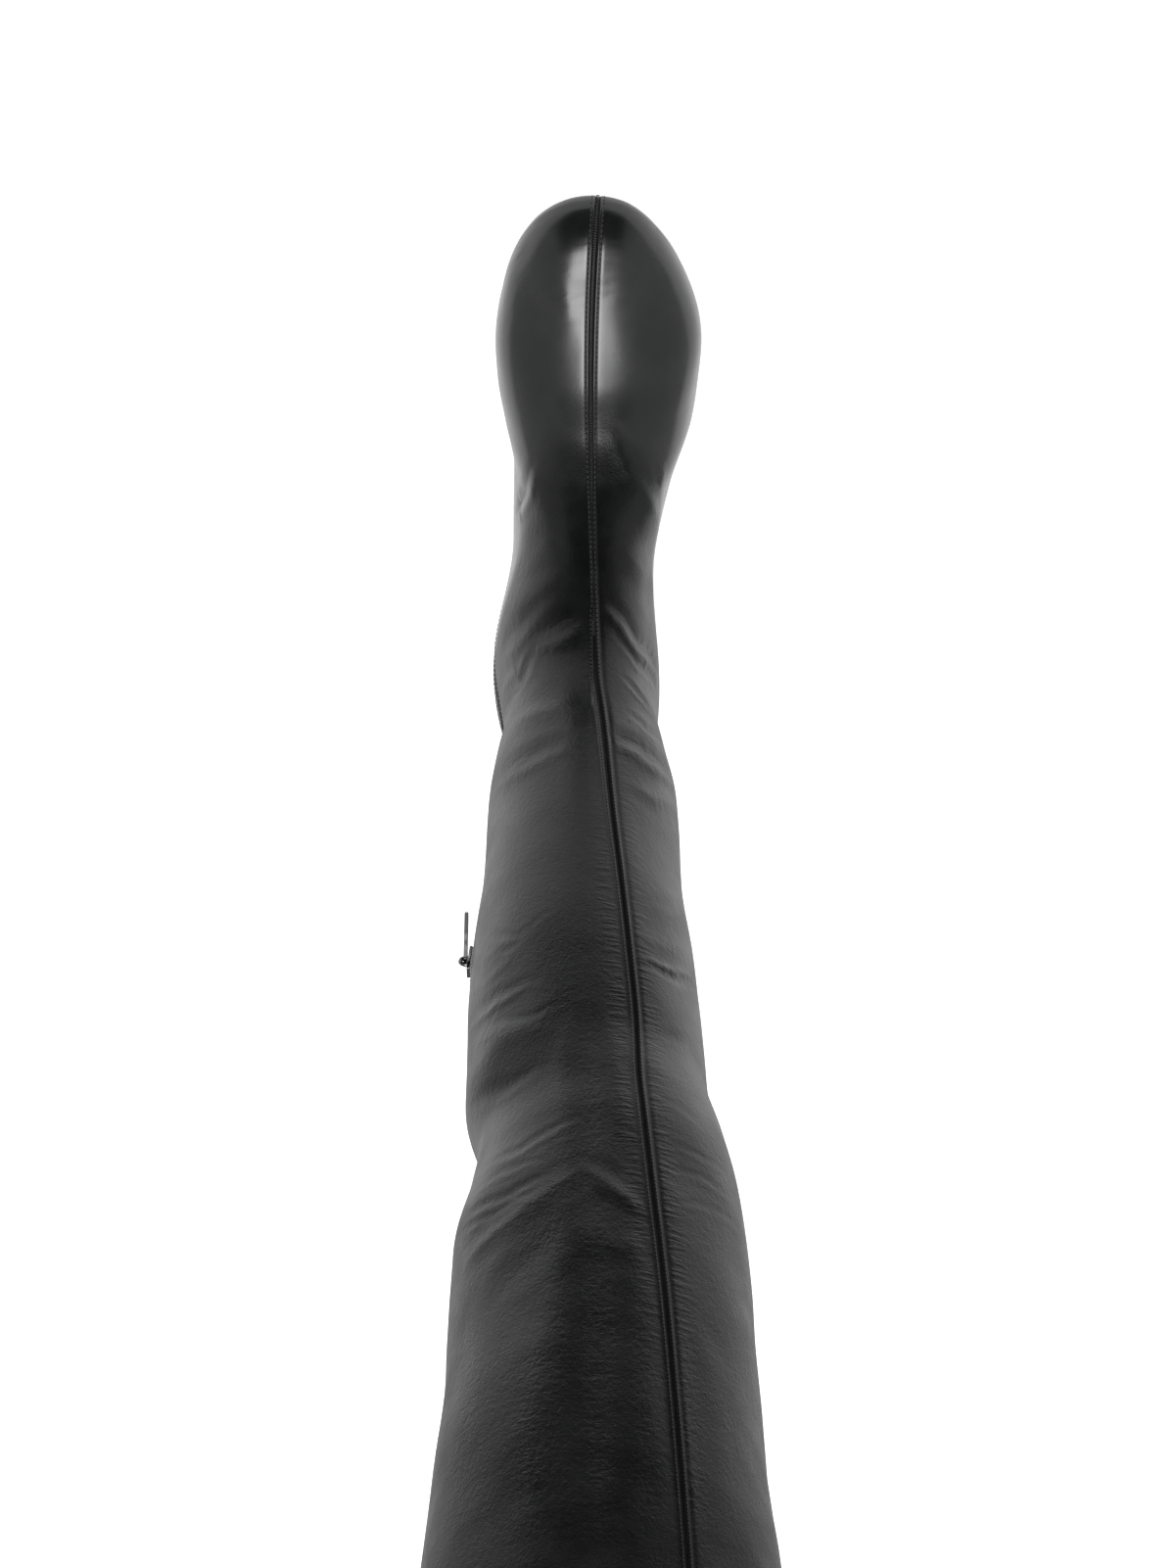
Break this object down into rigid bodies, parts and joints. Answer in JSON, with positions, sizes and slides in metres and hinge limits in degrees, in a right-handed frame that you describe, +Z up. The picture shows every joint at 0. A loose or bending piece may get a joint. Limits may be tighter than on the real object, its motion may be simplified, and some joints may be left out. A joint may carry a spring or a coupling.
{
  "type": "thigh high boot",
  "caption": "Right thigh-high leather boot on a covered block heel, with a channel seam down the front and a half-height zip on the inside of the calf.",
  "frame": {"origin": "on the floor, in the underside of the heel's top piece, 30 mm in front of the back of the heel", "axes": "+Z up along the shaft, -Y towards the toe, +X towards the medial side, where the other foot would be"},
  "size_m": [0.1571, 0.2742, 0.7619],
  "materials": {
    "black_leather": "smooth black calf, semi-gloss",
    "heel_cover": "smooth black leather glued round the heel",
    "sole_leather": "black-stained sole leather, satin",
    "insole_leather": "dark matt sock leather",
    "lift_rubber": "matt black rubber",
    "zip_tape": "black woven tape with black moulded teeth",
    "gunmetal": "black nickel plating, glossy"
  },
  "bodies": {
    "boot": {"upper": "black_leather", "outsole": "sole_leather", "insole": "insole_leather", "heel": "heel_cover", "heel_top_piece": "lift_rubber", "zip_strip": "zip_tape", "zip_slider": "gunmetal"},
    "zip_pull": {"zip_pull": "gunmetal"}
  },
  "joints": [
    {"name": "zip_pull_hinge", "type": "hinge", "parent": "boot", "child": "zip_pull", "pos_m": [0.05536, -0.02034, 0.29725], "axis": [0.0176, -0.9954, -0.0938], "range_deg": [-5, 170]}
  ]
}
